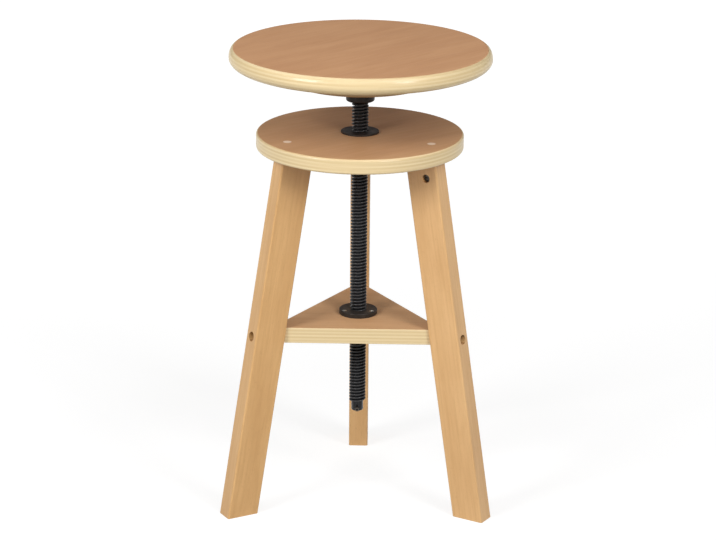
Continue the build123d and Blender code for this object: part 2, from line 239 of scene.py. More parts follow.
def new_material(name, **values):
    """A material with one Principled shader; gives back the material, its tree and the shader."""
    material = bpy.data.materials.new(name)
    material.use_nodes = True
    shader = material.node_tree.nodes["Principled BSDF"]
    for label, value in values.items():
        shader.inputs[label.replace("_", " ")].default_value = value
    return material, material.node_tree, shader


def add_bump(tree, shader, height, depth):
    """Lets a height stand out from the surface by a depth."""
    bump = add_node(tree, "ShaderNodeBump", {"Height": height, "Distance": depth})
    tree.links.new(bump.outputs[0], shader.inputs["Normal"])


print("helpers for groups and materials are ready")

# %% [markdown]
# Beech and the brown veneer show broad streaks of tone, fine lines along the board and short dark
# flecks. A wave texture could draw the lines, but they would all be alike. Three sizes of noise, each
# stretched along X of the vector that goes in, give the uneven look of grown wood. The noise scales
# are counts per metre, along the grain and across it.

# %% Node group: wood grain
STREAKS = {"scale": (9.0, 46.0, 46.0), "detail": 3.0, "roughness": 0.6}
STREAK_RANGE = (0.32, 0.72)
LINES = {"scale": (12.0, 300.0, 300.0), "detail": 5.0, "roughness": 0.65}
LINE_RANGE = (0.45, 0.75)
FLECKS = {"scale": (190.0, 1700.0, 1700.0), "detail": 1.0}
FLECK_RANGE = (0.64, 0.72)
SHEEN_RANGE = (0.3, 0.7)
WOOD_ROUGHNESS = (0.46, 0.58)

grain, grain_in, grain_out = new_group(
    "wood_grain",
    [("Vector", ARROW, (0, 0, 0)), ("Light", COLOUR, WHITE), ("Dark", COLOUR, BLACK),
     ("Fleck", COLOUR, BLACK), ("Streaks", NUMBER, 1.0), ("Lines", NUMBER, 0.3),
     ("Flecks", NUMBER, 0.3)],
    [("Color", COLOUR), ("Roughness", NUMBER), ("Height", NUMBER)])
broad = remap(grain, noise(grain, grain_in["Vector"], **STREAKS), *STREAK_RANGE)
fine = noise(grain, grain_in["Vector"], **LINES)
dash = remap(grain, noise(grain, grain_in["Vector"], **FLECKS), *FLECK_RANGE)
streak_share = math_node(grain, "MULTIPLY", broad, grain_in["Streaks"])
line_share = math_node(grain, "MULTIPLY", remap(grain, fine, *LINE_RANGE), grain_in["Lines"])
fleck_share = math_node(grain, "MULTIPLY", dash, grain_in["Flecks"])
streaked = mix_colour(grain, streak_share, grain_in["Light"], grain_in["Dark"])
lined = mix_colour(grain, line_share, streaked, grain_in["Dark"])
flecked = mix_colour(grain, fleck_share, lined, grain_in["Fleck"])
grain.links.new(flecked, grain_out["Color"])
grain.links.new(remap(grain, fine, *SHEEN_RANGE, *WOOD_ROUGHNESS), grain_out["Roughness"])
grain.links.new(math_node(grain, "SUBTRACT", fine, dash), grain_out["Height"])
print("group", grain.name, "with", len(grain.nodes), "nodes")

# %% [markdown]
# Where wood is sawn across, it shows growth rings and pores in place of lines. The plugs in the plate
# and the ends of the legs both do. Each could have rings of its own, but the pieces are so small that
# only nearly straight bands are seen. So one wave round the spindle's axis, bent by its own noise,
# serves them all.

# %% Node group: end grain
GROWTH_RINGS = {"Scale": 140.0, "Distortion": 3.0, "Detail": 2.0, "Detail Scale": 0.6}
RING_RANGE = (0.1, 1.0)
RING_SHARE = 0.6
END_PORES = {"scale": (2400.0, 2400.0, 200.0), "detail": 1.0}
END_PORE_RANGE = (0.6, 0.72)

ends, ends_in, ends_out = new_group(
    "end_grain",
    [("Vector", ARROW, (0, 0, 0)), ("Light", COLOUR, WHITE), ("Dark", COLOUR, BLACK)],
    [("Color", COLOUR), ("Height", NUMBER)])
rings = add_node(ends, "ShaderNodeTexWave", {"Vector": ends_in["Vector"], **GROWTH_RINGS},
                 wave_type="RINGS", rings_direction="Z").outputs["Fac"]
holes = remap(ends, noise(ends, ends_in["Vector"], **END_PORES), *END_PORE_RANGE)
ring_share = remap(ends, rings, *RING_RANGE, 0.0, RING_SHARE)
ringed = mix_colour(ends, ring_share, ends_in["Light"], ends_in["Dark"])
ends.links.new(mix_colour(ends, holes, ringed, ends_in["Dark"]), ends_out["Color"])
ends.links.new(math_node(ends, "SUBTRACT", rings, holes), ends_out["Height"])
print("group", ends.name, "with", len(ends.nodes), "nodes")

# %% [markdown]
# A plywood edge shows its plies one by one. Every second ply turns its end grain to the edge and is
# darker, and which ones do depends on the way the edge faces: where it faces along the grain of the
# outer plies, all even plies show end grain, and a quarter of a turn on, all odd ones do. In between
# both look alike and the lines fade. Plain stripes would be simpler, but would look printed. So the
# group counts the plies by height, and works out from the surface's own normal which of them are cut
# across.

# %% Node group: plies on an edge
PLY_THICKNESS = 2.1 * MM

plies, plies_in, plies_out = new_group(
    "ply_edge",
    [("Vector", ARROW, (0, 0, 0)), ("Normal", ARROW, (0, 0, 1)), ("Height", NUMBER, 0.0),
     ("Grain", ARROW, (1, 0, 0)), ("Ply", NUMBER, PLY_THICKNESS), ("Long", COLOUR, WHITE),
     ("End", COLOUR, BLACK), ("Glue", COLOUR, BLACK)],
    [("Color", COLOUR)])
flat = vector_node(plies, "MULTIPLY", plies_in["Normal"], LEVEL)
facing = vector_node(plies, "NORMALIZE", flat[0])
along = vector_node(plies, "DOT_PRODUCT", facing[0], plies_in["Grain"])["Value"]
even_end = math_node(plies, "MULTIPLY", along, along)
odd_end = math_node(plies, "SUBTRACT", 1.0, even_end)
count = math_node(plies, "DIVIDE", plies_in["Height"], plies_in["Ply"])
layer = math_node(plies, "FLOOR", count)
is_odd = math_node(plies, "FLOORED_MODULO", layer, 2.0)
end_share = mix_value(plies, is_odd, even_end, odd_end)
print("which plies are cut across:", len(plies.nodes), "nodes")

# %% [markdown]
# No two plies are quite of one tone, and a thin dark line of glue parts them. Each ply could be given a
# colour by hand, but the boards have too many. White noise turns the number of a ply into a tone that
# stays the same all round the board. Pores darken the plies that are cut across, and long level
# streaks keep each ply from looking too even.

# %% Tones and glue lines of the plies
PLY_PORES = {"scale": (420.0, 420.0, 900.0), "detail": 3.0, "roughness": 0.6}
PLY_PORE_RANGE = (0.2, 0.7)
PLY_PORE_SHADE = (0.6, 0.9)
PLY_STREAKS = {"scale": (16.0, 16.0, 1300.0), "detail": 3.0, "roughness": 0.6}
PLY_STREAK_RANGE = (0.35, 0.75)
PLY_STREAK_SHADE = 0.25
PLY_TONE_SPREAD = 0.2
GLUE_WIDTH = 0.08
GLUE_SHARE = 0.2

own_tone = add_node(plies, "ShaderNodeTexWhiteNoise", {"W": layer},
                    noise_dimensions="1D").outputs["Value"]
pores = noise(plies, plies_in["Vector"], **PLY_PORES)
streaks = noise(plies, plies_in["Vector"], **PLY_STREAKS)
pore_shade = remap(plies, pores, *PLY_PORE_RANGE, *PLY_PORE_SHADE)
tone_shade = remap(plies, own_tone, 0.0, 1.0, -PLY_TONE_SPREAD, PLY_TONE_SPREAD)
streak_shade = remap(plies, streaks, *PLY_STREAK_RANGE, 0.0, PLY_STREAK_SHADE)
cut_shade = math_node(plies, "MULTIPLY", end_share, pore_shade)
ply_shade = math_node(plies, "ADD", math_node(plies, "ADD", cut_shade, tone_shade), streak_shade)
ply_colour = mix_colour(plies, ply_shade, plies_in["Long"], plies_in["End"])
from_line = math_node(plies, "PINGPONG", math_node(plies, "FRACT", count), 0.5)
glue_line = remap(plies, from_line, 0.0, GLUE_WIDTH, GLUE_SHARE, 0.0)
plies.links.new(mix_colour(plies, glue_line, ply_colour, plies_in["Glue"]), plies_out["Color"])
print("group", plies.name, "with", len(plies.nodes), "nodes")

# %% [markdown]
# Metal that is only one colour looks like plastic. Real steel, whether it is black, dull or coated with
# zinc, has a fine mottle. It could be painted by hand for each piece, but clouds of noise with a fine
# grit over them come close enough at this size. So all metals use one group for it, each with its own
# tones and its own range from smooth to rough.

# %% Node group: mottle on metal
CLOUDS = {"scale": (160.0, 160.0, 160.0), "detail": 4.0, "roughness": 0.6}
CLOUD_RANGE = (0.3, 0.7)
GRIT = {"scale": (2600.0, 2600.0, 2600.0), "detail": 2.0}

mottle, mottle_in, mottle_out = new_group(
    "metal_mottle",
    [("Vector", ARROW, (0, 0, 0)), ("Light", COLOUR, WHITE), ("Dark", COLOUR, BLACK),
     ("Smooth", NUMBER, 0.3), ("Rough", NUMBER, 0.5)],
    [("Color", COLOUR), ("Roughness", NUMBER), ("Height", NUMBER)])
clouds = remap(mottle, noise(mottle, mottle_in["Vector"], **CLOUDS), *CLOUD_RANGE)
grit = noise(mottle, mottle_in["Vector"], **GRIT)
clouded = mix_colour(mottle, clouds, mottle_in["Light"], mottle_in["Dark"])
dulled = mix_value(mottle, clouds, mottle_in["Smooth"], mottle_in["Rough"])
mottle.links.new(clouded, mottle_out["Color"])
mottle.links.new(dulled, mottle_out["Roughness"])
mottle.links.new(grit, mottle_out["Height"])
print("group", mottle.name, "with", len(mottle.nodes), "nodes")

# %% [markdown]
# The seat, its disc, the plate and the brace are plywood: brown veneer on both faces, plies on the edge
# and lacquer over all. A board could be given two materials, one for its faces and one for its edge,
# but then the faces of its mesh would have to be sorted. A height is enough to tell them apart: what
# lies within a hair of the top or bottom is veneer, and all between is edge. So one function makes the
# material from the board's two heights. The edge has the full coat, which gives it its gleams. A wide
# level face would mirror a whole lamp with it, as a white glare from behind, so it has less.

# %% Plywood
VENEER_GRAIN = {"Fleck": srgb(152, 104, 68), "Streaks": 0.6, "Lines": 0.25, "Flecks": 0.14}
VENEER_DEPTH = 0.12 * MM
GRAIN_BUMP = 0.04 * MM
PLYWOOD_GLOSS = 0.3
LACQUER = {"Coat_Weight": 0.4, "Coat_Roughness": 0.16}
FACE_COAT = 0.06


def plywood(name, bottom, top, grain_degrees, veneer_tones, ply_tones):
    """Veneered plywood between two heights, with its grain at an angle from X."""
    light, dark = veneer_tones
    long_tone, end_tone, glue_tone = ply_tones
    material, tree, shader = new_material(name, Specular_IOR_Level=PLYWOOD_GLOSS, **LACQUER)
    where = add_node(tree, "ShaderNodeTexCoord").outputs
    angle = math.radians(grain_degrees)
    turned = add_node(tree, "ShaderNodeMapping",
                      {"Vector": where["Object"], "Rotation": (0, 0, -angle)})
    veneer = group_node(tree, grain, {"Vector": turned.outputs[0], "Light": light, "Dark": dark,
                                      **VENEER_GRAIN})
    height = add_node(tree, "ShaderNodeSeparateXYZ", {0: where["Object"]}).outputs["Z"]
    edge = group_node(tree, plies, {"Vector": where["Object"], "Normal": where["Normal"],
                                    "Height": math_node(tree, "SUBTRACT", height, bottom),
                                    "Grain": (math.cos(angle), math.sin(angle), 0),
                                    "Ply": PLY_THICKNESS, "Long": long_tone, "End": end_tone,
                                    "Glue": glue_tone})
    off_middle = math_node(tree, "SUBTRACT", height, (bottom + top) / 2)
    is_face = math_node(tree, "GREATER_THAN", math_node(tree, "ABSOLUTE", off_middle),
                        (top - bottom) / 2 - VENEER_DEPTH)
    colour = mix_colour(tree, is_face, edge["Color"], veneer["Color"])
    coat = remap(tree, is_face, 0.0, 1.0, LACQUER["Coat_Weight"], FACE_COAT)
    tree.links.new(colour, shader.inputs["Base Color"])
    tree.links.new(veneer["Roughness"], shader.inputs["Roughness"])
    tree.links.new(coat, shader.inputs["Coat Weight"])
    add_bump(tree, shader, veneer["Height"], GRAIN_BUMP)
    return material


print("plywood has plies of", round(PLY_THICKNESS / MM, 1), "mm")

# %% [markdown]
# The four boards differ a little: the seat's veneer is redder than the frame's, and the edge of the
# disc under it is painted browner than the other edges, as painted shade for the seat's shadow on it.
# One material could serve them all if they were alike and lay at one height. But plies start at each
# board's own underside, so each gets its own material from the function, with its own tones and the
# direction of its grain.

# %% Dress the boards
SEAT_VENEER = (srgb(211, 160, 116), srgb(193, 140, 99))
FRAME_VENEER = (srgb(209, 166, 122), srgb(191, 146, 104))
PALE_PLIES = (srgb(234, 213, 169), srgb(220, 195, 147), srgb(200, 169, 123))
# The disc's ply tones are darker than the other edges: painted shade from the seat above it.
DISC_PLIES_PAINTED_SHADE = (srgb(196, 166, 119), srgb(180, 146, 98), srgb(160, 124, 82))
SEAT_GRAIN_DEGREES = 47
PLATE_GRAIN_DEGREES = 40
BRACE_GRAIN_DEGREES = 0


def dress(node, material):
    """Gives a CAD node its material, in place of the plain one that it came with."""
    nodes[node].data.materials.clear()
    nodes[node].data.materials.append(material)


dress("seat_board", plywood("seat_plywood", seat_bottom, seat_top, SEAT_GRAIN_DEGREES,
                            SEAT_VENEER, PALE_PLIES))
dress("seat_disc", plywood("disc_plywood_painted_shade", disc_bottom, disc_top, SEAT_GRAIN_DEGREES,
                           SEAT_VENEER, DISC_PLIES_PAINTED_SHADE))
dress("top_plate", plywood("plate_plywood", plate_bottom, plate_top, PLATE_GRAIN_DEGREES,
                           FRAME_VENEER, PALE_PLIES))
dress("brace_plate", plywood("brace_plywood", brace_bottom, brace_top, BRACE_GRAIN_DEGREES,
                             FRAME_VENEER, PALE_PLIES))
print("plywood on the seat, its disc, the plate and the brace")

# %% [markdown]
# The legs are solid beech with the grain along the leg. Each leg's tone is painted lighter or darker
# than the others to make up for how it is lit: painted light, lightest on the back leg. The legs could
# be unwrapped and given a flat texture, but solid wood carries its grain right through, from face to
# face. So the texture's own axes are turned to the leg: first round the spindle to the leg's side of
# the stool, then over by its lean. Ends that are sawn across the grain are darker, and a mask from the
# normal finds them.

# %% Beech legs
LEG_AZIMUTHS = {"back": 90, "left": 210, "right": 330}
# Lit and shaded copies of one beech: each leg's pair of tones is painted lighter or darker for its
# light.
BEECH_TONES_PAINTED_LIGHT = {
    "back": (srgb(239, 192, 132), srgb(217, 167, 106)),
    "left": (srgb(224, 178, 118), srgb(202, 153, 93)),
    "right": (srgb(230, 185, 128), srgb(208, 160, 102)),
}
BEECH_GRAIN = {"Fleck": srgb(164, 112, 66), "Streaks": 0.7, "Lines": 0.7, "Flecks": 0.2}
BEECH_ENDS = {"Light": srgb(196, 148, 98), "Dark": srgb(160, 112, 68)}
SAWN_SLOPE = 0.8
LEG_LEVEL_DEPTH = 40.1 * MM
leg_low, leg_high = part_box("leg_back")
lean = math.atan2(leg_high.y - leg_low.y - LEG_LEVEL_DEPTH, leg_high.z - leg_low.z)


def beech(side):
    """Beech whose grain runs along one leg."""
    light, dark = BEECH_TONES_PAINTED_LIGHT[side]
    material, tree, shader = new_material("beech_" + side, **LACQUER)
    where = add_node(tree, "ShaderNodeTexCoord").outputs
    azimuth = math.radians(LEG_AZIMUTHS[side])
    along_leg = where["Object"]
    for move in ({"Rotation": (0, 0, -azimuth)}, {"Rotation": (0, math.pi / 2 + lean, 0)},
                 {"Location": (azimuth, azimuth, 0)}):
        along_leg = add_node(tree, "ShaderNodeMapping", {"Vector": along_leg, **move}).outputs[0]
    wood = group_node(tree, grain, {"Vector": along_leg, "Light": light, "Dark": dark, **BEECH_GRAIN})
    sawn = group_node(tree, ends, {"Vector": where["Object"], **BEECH_ENDS})
    slope = add_node(tree, "ShaderNodeSeparateXYZ", {0: where["Normal"]}).outputs["Z"]
    is_end = math_node(tree, "GREATER_THAN", math_node(tree, "ABSOLUTE", slope), SAWN_SLOPE)
    colour = mix_colour(tree, is_end, wood["Color"], sawn["Color"])
    tree.links.new(colour, shader.inputs["Base Color"])
    tree.links.new(wood["Roughness"], shader.inputs["Roughness"])
    add_bump(tree, shader, wood["Height"], GRAIN_BUMP)
    return material


for side in LEG_AZIMUTHS:
    dress("leg_" + side, beech(side))
print("beech on the legs, leaning", round(math.degrees(lean), 2), "degrees")

# %% [markdown]
# Each plug over a leg bolt is cut across the grain, so it shows pale end grain with rings. Its tones
# are made paler still, near white, as a painted sheen for a lamp's gleam on it. A darker line is
# painted where it meets its hole: painted shade of the thin gap. That line could be a groove in the
# mesh, but it is finer than a hair. So the plug's Generated coordinates, which run from 0 to 1 over
# its box, give a ring near its rim. The dowels inside are of the same wood.

# %% Plugs and dowels
# The end grain tones are painted paler as a painted sheen; the rim colour is painted shade of the gap.
PLUG_ENDS_AND_SHEEN = {"Light": srgb(255, 236, 210), "Dark": srgb(252, 220, 186)}
PLUG_GAP_SHADE = srgb(200, 146, 106)
PLUG_ROUGHNESS = 0.5
PLUG_MIDDLE = (0.5, 0.5, 0)
GAP_SHADE_RANGE = (0.46, 0.5)
GAP_SHADE_SHARE = 0.8


def plug_wood():
    """Pale end grain with a painted sheen, and painted shade in a ring at its rim."""
    material, tree, shader = new_material("plug_wood", Roughness=PLUG_ROUGHNESS, **LACQUER)
    where = add_node(tree, "ShaderNodeTexCoord").outputs
    wood = group_node(tree, ends, {"Vector": where["Object"], **PLUG_ENDS_AND_SHEEN})
    centred = vector_node(tree, "SUBTRACT", where["Generated"], PLUG_MIDDLE)
    # The ring near the rim is painted shade of the gap round the plug.
    rim = remap(tree, level_distance(tree, centred[0]), *GAP_SHADE_RANGE, 0.0, GAP_SHADE_SHARE)
    tree.links.new(mix_colour(tree, rim, wood["Color"], PLUG_GAP_SHADE), shader.inputs["Base Color"])
    add_bump(tree, shader, wood["Height"], GRAIN_BUMP)
    return material


plug_material = plug_wood()
for side in LEG_AZIMUTHS:
    dress("plug_" + side, plug_material)
    dress("leg_dowel_" + side, plug_material)
print("plugs and dowels dressed:", 2 * len(LEG_AZIMUTHS))

# %% [markdown]
# The flanges, the bush, the collar and the bolts are blackened steel, warm black and a little glossy
# from oil. Barrel nuts and pins are dull grey steel, and the wood screws are bright zinc. Black steel
# could be made as a metal with a dark colour, but its skin is an oxide that hides the metal, so it is
# a dark surface with low gloss. The bare metals have Metallic at 1.

# %% Metals
BLACK_SKIN = {"Light": srgb(55, 49, 45), "Dark": srgb(36, 32, 29), "Smooth": 0.38, "Rough": 0.5}
BLACK_GLOSS = 0.25
ZINC_SKIN = {"Light": srgb(196, 196, 190), "Dark": srgb(158, 157, 150), "Smooth": 0.26, "Rough": 0.4}
DULL_SKIN = {"Light": srgb(112, 106, 98), "Dark": srgb(78, 73, 67), "Smooth": 0.4, "Rough": 0.55}
METAL_BUMP = 0.012 * MM


def metal(name, skin_values, **values):
    """Mottled metal with two tones and two roughnesses."""
    material, tree, shader = new_material(name, **values)
    where = add_node(tree, "ShaderNodeTexCoord").outputs
    skin = group_node(tree, mottle, {"Vector": where["Object"], **skin_values})
    tree.links.new(skin["Color"], shader.inputs["Base Color"])
    tree.links.new(skin["Roughness"], shader.inputs["Roughness"])
    add_bump(tree, shader, skin["Height"], METAL_BUMP)
    return material


black_steel = metal("black_steel", BLACK_SKIN, Specular_IOR_Level=BLACK_GLOSS)
zinc_steel = metal("zinc_steel", ZINC_SKIN, Metallic=1.0)
dull_steel = metal("dull_steel", DULL_SKIN, Metallic=1.0)
for node in ("seat_flange", "stop_collar", "guide_bush", "flange_nut"):
    dress(node, black_steel)
for node in ("hub_pin", "stop_pin"):
    dress(node, dull_steel)
for side in LEG_AZIMUTHS:
    for kind in ("leg_bolt_", "brace_bolt_"):
        dress(kind + side, black_steel)
    for kind in ("leg_nut_", "brace_nut_"):
        dress(kind + side, dull_steel)
print("metals made:", [made.name for made in (black_steel, zinc_steel, dull_steel)])

# %% [markdown]
# The screw's tip and neck and the heads of the wood screws are round, as if turned on a lathe. A Screw
# modifier or Blender's own cylinders could make them, but an outline of radius and height, spun round
# in a few lines, gives any turned shape. Smooth shading with a limit on the angle keeps an edge crisp
# where the outline has a corner.

# %% Helpers for turned shapes
TURN_STEPS = 48
SHARP_ANGLE = math.radians(35)


def finish_mesh(name, mesh_edit, material):
    """Makes an object from an edited mesh, with smooth faces and crisp edges."""
    bmesh.ops.recalc_face_normals(mesh_edit, faces=mesh_edit.faces)
    data = bpy.data.meshes.new(name)
    mesh_edit.to_mesh(data)
    mesh_edit.free()
    data.materials.append(material)
    data.shade_smooth()
    data.set_sharp_from_angle(angle=SHARP_ANGLE)
    return new_object(name, data)


def add_turned(mesh_edit, outline):
    """Adds a turned shape whose outline is given as radius and height."""
    rings = []
    for radius, height in outline:
        ring = []
        for step in range(TURN_STEPS if radius > 0 else 1):
            angle = 2 * math.pi * step / TURN_STEPS
            corner = (radius * math.cos(angle), radius * math.sin(angle), height)
            ring.append(mesh_edit.verts.new(corner))
        rings.append(ring)
    for lower, upper in zip(rings, rings[1:]):
        for step in range(TURN_STEPS):
            after = (step + 1) % TURN_STEPS
            corners = [lower[step % len(lower)], lower[after % len(lower)],
                       upper[after % len(upper)], upper[step % len(upper)]]
            mesh_edit.faces.new(list(dict.fromkeys(corners)))


print("turned shapes have", TURN_STEPS, "sides")

# %% [markdown]
# A thread is a groove that climbs by one pitch a turn. Stacked rings would look like one from afar, and
# a bump in the material would leave the outline smooth. Here a profile is swept along a real helix:
# each turn of the mesh joins the next one a pitch higher, so the crests are clean lines, and two level
# cuts give it flat ends. A right-hand thread climbs as it goes round anticlockwise, seen from above.

# %% Helpers for threads
PITCH = 4.0 * MM
LEVEL_SLACK = 0.01 * MM
TURNS_BELOW = 2
TURNS_ABOVE = 1


def add_thread(mesh_edit, profile, start, bottom, top, radius_at):
    """Adds a helical surface between two heights. The profile gives share of a pitch and radius."""
    first = math.floor((bottom - start) / PITCH) - TURNS_BELOW
    last = math.ceil((top - start) / PITCH) + TURNS_ABOVE
    columns = []
    for step in range(TURN_STEPS):
        angle = 2 * math.pi * step / TURN_STEPS
        column = []
        for turns in range(first, last):
            for share, radius in profile:
                height = start + PITCH * (turns + share + step / TURN_STEPS)
                kept = radius_at(radius, height)
                corner = (kept * math.cos(angle), kept * math.sin(angle), height)
                column.append(mesh_edit.verts.new(corner))
        columns.append(column)
    columns.append(columns[0][len(profile):])
    for column, beside in zip(columns, columns[1:]):
        for row in range(min(len(column), len(beside)) - 1):
            mesh_edit.faces.new((column[row], beside[row], beside[row + 1], column[row + 1]))
    for height, keep_above in ((bottom, True), (top, False)):
        everything = mesh_edit.verts[:] + mesh_edit.edges[:] + mesh_edit.faces[:]
        bmesh.ops.bisect_plane(mesh_edit, geom=everything, plane_co=(0, 0, height), plane_no=(0, 0, 1),
                               clear_inner=keep_above, clear_outer=not keep_above)


def close_level_ends(mesh_edit, heights):
    """Fills the open ends of a mesh at the given heights."""
    for height in heights:
        rim = [edge for edge in mesh_edit.edges if edge.is_boundary
               and all(abs(corner.co.z - height) < LEVEL_SLACK for corner in edge.verts)]
        bmesh.ops.triangle_fill(mesh_edit, use_beauty=True, edges=rim)


print("threads climb", round(PITCH / MM, 1), "mm a turn")

# %% [markdown]
# The thread on the stool is deep and coarse: in the photograph its outline shows every tooth. A sharp
# V would be simpler, but its crests would be lines without width, and lines catch no light. So the
# profile is a trapezoid with a rounded crest, which gleams, and a small round at the root.

# %% The thread's profile
THREAD_DEPTH = 3.0 * MM
CREST_MIDDLE = 0.61
CREST_FLAT = 0.05
CREST_SPREAD = 0.15
CREST_ROUND = 0.9 * MM
CREST_STEPS = 4
ROOT_SPREAD = 0.33
ROOT_EDGE = 0.38
ROOT_ROUND = 0.3 * MM
root_radius = crest_radius - THREAD_DEPTH


def thread_profile(root, crest, fuller=0.0):
    """One pitch of the thread as share of the pitch and radius, a little fuller if asked."""
    half = [(ROOT_EDGE, root), (ROOT_SPREAD, root + ROOT_ROUND)]
    for step in range(CREST_STEPS, -1, -1):
        angle = math.pi / 2 * step / CREST_STEPS
        half.append((CREST_FLAT + CREST_SPREAD * math.sin(angle),
                     crest - CREST_ROUND * (1 - math.cos(angle))))
    below = [(CREST_MIDDLE - share - fuller, radius) for share, radius in half]
    above = [(CREST_MIDDLE + share + fuller, radius) for share, radius in reversed(half)]
    return below + above


print("points in one pitch of the thread:", len(thread_profile(root_radius, crest_radius)))

# %% [markdown]
# The spindle of the model is a plain bar at the outside of the thread. The real one is threaded up to
# the collar, with a chamfer at its lower end, a plain tip for the stop pin below and a neck that goes
# up into the hub. The bar could be cut with a boolean, but a helix makes booleans slow and untidy. So
# the screw is built up in one mesh: the thread first, then the turned tip and neck.

# %% The screw spindle
TIP_LENGTH = 12.6 * MM
TIP_RADIUS = 7.2 * MM
TIP_CHAMFER = 1.2 * MM
TIP_BEND = 0.35 * TIP_CHAMFER
NECK_RADIUS = 8.0 * MM
END_CHAMFER = 0.5 * MM
thread_bottom = spindle_bottom + TIP_LENGTH


def chamfered(radius, height):
    """Thread radius, turned down in a cone at the screw's lower end."""
    return min(radius, crest_radius - END_CHAMFER + max(height - thread_bottom, 0))


screw = bmesh.new()
add_thread(screw, thread_profile(root_radius, crest_radius), thread_bottom,
           thread_bottom, thread_top, chamfered)
close_level_ends(screw, (thread_bottom, thread_top))
add_turned(screw, [(0, spindle_bottom), (TIP_RADIUS - TIP_CHAMFER, spindle_bottom),
                   (TIP_RADIUS - TIP_BEND, spindle_bottom + TIP_BEND),
                   (TIP_RADIUS, spindle_bottom + TIP_CHAMFER), (TIP_RADIUS, thread_bottom),
                   (0, thread_bottom)])
add_turned(screw, [(0, thread_top), (NECK_RADIUS, thread_top),
                   (NECK_RADIUS, spindle_top), (0, spindle_top)])
print("screw with", len(screw.faces), "faces, thread", round(thread_top - thread_bottom, 4))

# %% [markdown]
# The real screw is black. Its crests are painted lighter than its roots: partly wear from the nut,
# partly a painted highlight where the crests catch the light. A mask of convex edges could find them,
# but the distance from the axis tells crest from root exactly, so it sets the colour here. The
# finished screw replaces the model's bar and moves with the seat.

# %% Finish and place the spindle
THREAD_SKIN = {"Light": srgb(34, 35, 37), "Dark": srgb(22, 23, 25), "Smooth": 0.18, "Rough": 0.28}
THREAD_GLOSS = 0.28
# The crests' lighter colour is partly wear and partly a painted highlight.
THREAD_RUB_AND_GLINT = srgb(84, 84, 86)
RUB_AND_GLINT_DEPTH = 1.0 * MM
RUB_AND_GLINT_SHARE = 0.6


def thread_steel():
    """Black steel whose thread crests are painted lighter than its roots: part wear, part painted
    highlight.
    """
    material, tree, shader = new_material("thread_steel", Specular_IOR_Level=THREAD_GLOSS)
    where = add_node(tree, "ShaderNodeTexCoord").outputs
    skin = group_node(tree, mottle, {"Vector": where["Object"], **THREAD_SKIN})
    radius = level_distance(tree, where["Object"])
    rub_and_glint = remap(tree, radius, crest_radius - RUB_AND_GLINT_DEPTH, crest_radius, 0.0, RUB_AND_GLINT_SHARE)
    colour = mix_colour(tree, rub_and_glint, skin["Color"], THREAD_RUB_AND_GLINT)
    tree.links.new(colour, shader.inputs["Base Color"])
    tree.links.new(skin["Roughness"], shader.inputs["Roughness"])
    add_bump(tree, shader, skin["Height"], METAL_BUMP)
    return material


threaded_spindle = finish_mesh("threaded_spindle", screw, thread_steel())
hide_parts("spindle")
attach(threaded_spindle, "seat")
print("spindle with", len(threaded_spindle.data.polygons), "faces rides on the seat")

# %% [markdown]
# The nut has the same thread on its inside, with a little slack. The bore could be left plain, but then
# one would look past the spindle into an empty hole, from above and from below. It is made by the same
# function as the screw, on the same helix, so the two still fit when the seat is turned: a screw that
# turns and climbs by its pitch lands on itself.

# %% The thread in the nut
NUT_SLACK = 0.25 * MM
NUT_WIDER = 0.03
BORE_GAP = 0.04 * MM
NUT_WALL = 0.8 * MM
NUT_END_DROP = 0.3 * MM


def unchanged(radius, height):
    """The nut's thread keeps its radius at every height."""
    return radius


nut_ends = (nut_bottom + NUT_END_DROP, nut_top - NUT_END_DROP)
nut_edit = bmesh.new()
add_thread(nut_edit, thread_profile(root_radius + NUT_SLACK, crest_radius + BORE_GAP, NUT_WIDER),
           thread_bottom, *nut_ends, unchanged)
add_turned(nut_edit, [(crest_radius + NUT_WALL, height) for height in nut_ends])
close_level_ends(nut_edit, nut_ends)
nut_thread = finish_mesh("nut_thread", nut_edit, black_steel)
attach(nut_thread, "frame")
print("thread in the nut with", len(nut_thread.data.polygons), "faces")

# %% [markdown]
# Three rings of wood screws hold the fittings: domed heads under the seat's flange, and sunk heads in
# the disc and in the flange nut. A head is a turned shape with a cross recess. The recess could be
# modelled face by face, but a boolean with two crossed bars is the shortest way to a clean one.

# %% One screw head
HEAD_RADIUS = 2.8 * MM
HEAD_HEIGHT = 2.0 * MM
SHANK_RADIUS = 1.5 * MM
SUNK_DEPTH = HEAD_RADIUS - SHANK_RADIUS
SUNK_CROWN = 0.15 * MM
CROSS_WIDTH = 0.75 * MM
CROSS_LENGTH = 3.0 * MM
CROSS_DEPTH = 1.0 * MM
CROWN_STEPS = 3
DOME_STEPS = 6


def quarter(radius, height, steps):
    """Points on a quarter of an ellipse, from its outside up to its top."""
    angles = [step / steps * math.pi / 2 for step in range(steps)]
    return [(radius * math.cos(angle), height * math.sin(angle)) for angle in angles] + [(0, height)]


def cross_bars(name, top):
    """Two crossed bars, half above a height and half below it."""
    bars_edit = bmesh.new()
    for length, width in ((CROSS_LENGTH, CROSS_WIDTH), (CROSS_WIDTH, CROSS_LENGTH)):
        bar = bmesh.ops.create_cube(bars_edit, size=1.0)["verts"]
        bmesh.ops.scale(bars_edit, vec=(length, width, 2 * CROSS_DEPTH), verts=bar)
        bmesh.ops.translate(bars_edit, vec=(0, 0, top), verts=bar)
    return finish_mesh(name, bars_edit, zinc_steel)


